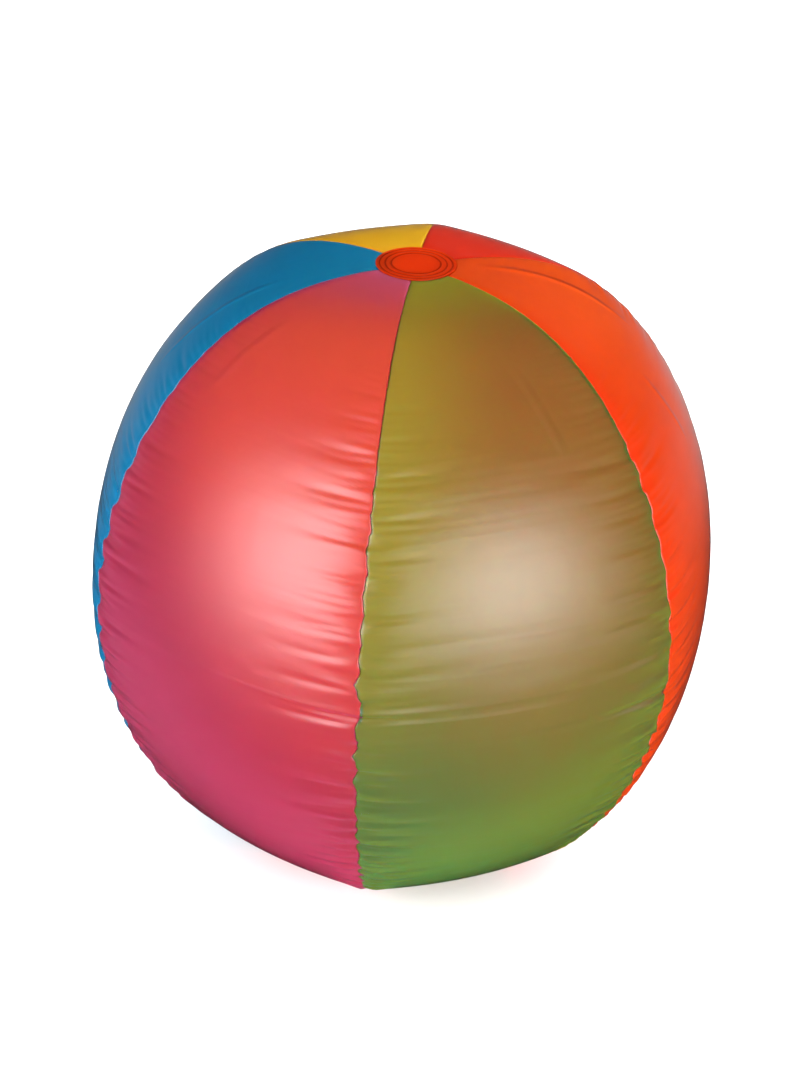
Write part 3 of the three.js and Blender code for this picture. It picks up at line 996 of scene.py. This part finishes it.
def add_cap(name, side):
    """A round film patch with pressed weld rings; side is 1 for the upper pole and -1 for the lower."""
    radii = np.linspace(0, CAP_RADIUS, 121)
    middle = CAP_FACE - CAP_FILM / 2 - CAP_INSET - CAP_DROP * (radii / CAP_RADIUS) ** 2
    press = sum(np.exp(-(((radii - ring) / RING_WIDTH) ** 2)) for ring in CAP_RINGS) * RING_DEPTH
    outer = list(zip(radii, side * (middle + CAP_FILM / 2 - press)))
    inner = list(zip(radii, side * (middle - CAP_FILM / 2)))
    cap = lathe("film_" + name, outer + inner[::-1], 128)
    dress(cap, film_material("vinyl_" + name, *CAP_LOOK, rings=CAP_RINGS), name, "ball")


def add_valve_base(clear, yellow):
    """The flat ring behind the yellow film, bent to follow it."""
    inner = VALVE_HOLE_RADIUS - 0.3
    base = valve_lathe("valve_base_ring", [
        (inner, BASE_FACE), (inner, BASE_BACK), (BASE_STEP_RADIUS, BASE_BACK),
        (BASE_RADIUS, BASE_BACK - 0.2), (BASE_RADIUS, BASE_FACE), (BASE_STEP_RADIUS, BASE_FACE)])
    film = BVHTree.FromObject(yellow, bpy.context.evaluated_depsgraph_get())
    for vertex in base.data.vertices:
        hit = film.ray_cast(Vector((vertex.co.x, 0.3, vertex.co.z)), Vector((0, -1, 0)))[0]
        vertex.co.y += hit.y - VALVE_FACE * MM
    dress(base, clear, "valve_base", "ball")


def add_valve_web(clear):
    """The thin bellows from the base down to the stem, which follows both."""
    rim = VALVE_HOLE_RADIUS - 0.5
    root = STEM_RADIUS + 0.1
    fall = WEB_ROOT_DEPTH - WEB_RIM_DEPTH
    outer = []
    for share in np.linspace(0, 1, 25):
        sag = WEB_SAG * math.sin(math.pi * share) ** 2
        outer.append((rim + (root - rim) * share, WEB_RIM_DEPTH + fall * share**0.8 + sag))
    back = [(radius, depth + WEB_THICKNESS) for radius, depth in outer]
    web = valve_lathe("valve_web_cone", outer + back[::-1], 0.02)
    dress(web, clear, "valve_web")
    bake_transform(web)


def add_valve_stem(clear):
    """The mouth tube, with a bead round its outer end."""
    bottom = STEM_TOP_DEPTH + STEM_LENGTH
    lip = STEM_TOP_DEPTH + LIP_LENGTH
    stem = valve_lathe("valve_stem_tube", [
        (STEM_BORE, bottom), (STEM_RADIUS, bottom), (STEM_RADIUS, lip), (LIP_RADIUS, lip - 0.2),
        (LIP_RADIUS, STEM_TOP_DEPTH), (STEM_BORE, STEM_TOP_DEPTH)], 0.35)
    dress(stem, clear, "valve_stem", "stem")


def add_valve_plug(clear):
    """The stopper, with its pull tab towards +X."""
    tip = PLUG_HEAD_BACK + PLUG_LENGTH
    plug = valve_lathe("valve_plug_stopper", [
        (0, tip), (PLUG_RADIUS - PLUG_TAPER, tip), (PLUG_RADIUS, PLUG_HEAD_BACK),
        (PLUG_HEAD_RADIUS, PLUG_HEAD_BACK), (PLUG_HEAD_RADIUS, PLUG_HEAD_FACE), (0, PLUG_HEAD_FACE)], 0.4)
    face = VALVE_FACE - PLUG_HEAD_BACK + 0.1
    low = (4, face, -TAB_WIDTH / 2)
    high = (TAB_REACH, face + TAB_THICKNESS, TAB_WIDTH / 2)
    combine(plug, rounded_box("plug_tab", low, high, 0.4), "UNION")
    dress(plug, clear, "valve_plug", "plug")


def smooth_step(share):
    """A smooth rise from 0 to 1."""
    share = min(1, max(0, share))
    return share * share * (3 - 2 * share)


def add_plug_strap(clear):
    """Flat tether from the plug's head down round the stem, from +X towards -Z."""
    top = PLUG_HEAD_FACE + 0.2
    bottom = STEM_TOP_DEPTH + LIP_LENGTH + 0.5
    head = PLUG_HEAD_RADIUS + 0.05
    stem = STEM_RADIUS + 0.05
    points = []
    for step in range(STRAP_STEPS + 1):
        share = step / STRAP_STEPS
        angle = math.pi * (STRAP_START + STRAP_TURN * share)
        depth = top + (bottom - top) * smooth_step(share)
        leave = smooth_step(share * 5)
        land = smooth_step(share * 4 - 3)
        inner = head + (STRAP_LOOP_RADIUS - head) * leave + (stem - STRAP_LOOP_RADIUS) * land
        width = STRAP_WIDTH + 0.5 * leave - 0.3 * land
        for across, down in STRAP_SECTION:
            radius = inner + width * across
            y = VALVE_FACE - depth - down * STRAP_THICKNESS
            points.append((radius * math.cos(angle), y, -radius * math.sin(angle)))
    numbers = np.arange(len(points)).reshape(-1, len(STRAP_SECTION))
    closed = np.concatenate([numbers, numbers[:, :1]], 1)
    ends = [numbers[0].tolist(), numbers[-1][::-1].tolist()]
    strap = make_mesh("plug_strap_tether", points, grid_faces(closed), ends)
    face_outward(strap)
    dress(strap, clear, "plug_strap")
    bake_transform(strap)


def add_check_flap(clear):
    """The one-way flap over the stem's inner end, with its hinge strip towards +Z."""
    depth = STEM_TOP_DEPTH + STEM_LENGTH + FLAP_GAP
    back = depth + FLAP_THICKNESS
    flap = valve_lathe("check_flap_disc", [(0, back), (FLAP_RADIUS, back), (FLAP_RADIUS, depth), (0, depth)])
    low = (-FLAP_STRIP_HALF, VALVE_FACE - back + 0.05, FLAP_STRIP_START)
    high = (FLAP_STRIP_HALF, VALVE_FACE - depth - 0.05, FLAP_HINGE_REACH)
    combine(flap, rounded_box("flap_strip", low, high, 0.1), "UNION")
    dress(flap, clear, "check_flap", "flap")


def add_valve(yellow):
    """The push-in valve in the middle of the yellow panel."""
    clear = clear_vinyl("vinyl_valve")
    add_valve_base(clear, yellow)
    add_valve_web(clear)
    add_valve_stem(clear)
    add_valve_plug(clear)
    add_plug_strap(clear)
    add_check_flap(clear)


facing = add_camera()
add_stage(facing)
films = add_panels()
add_cap("top_cap", 1)
add_cap("bottom_cap", -1)
add_valve(films["yellow"])
drill_valve_hole(films["yellow"])
dress_panels(films)
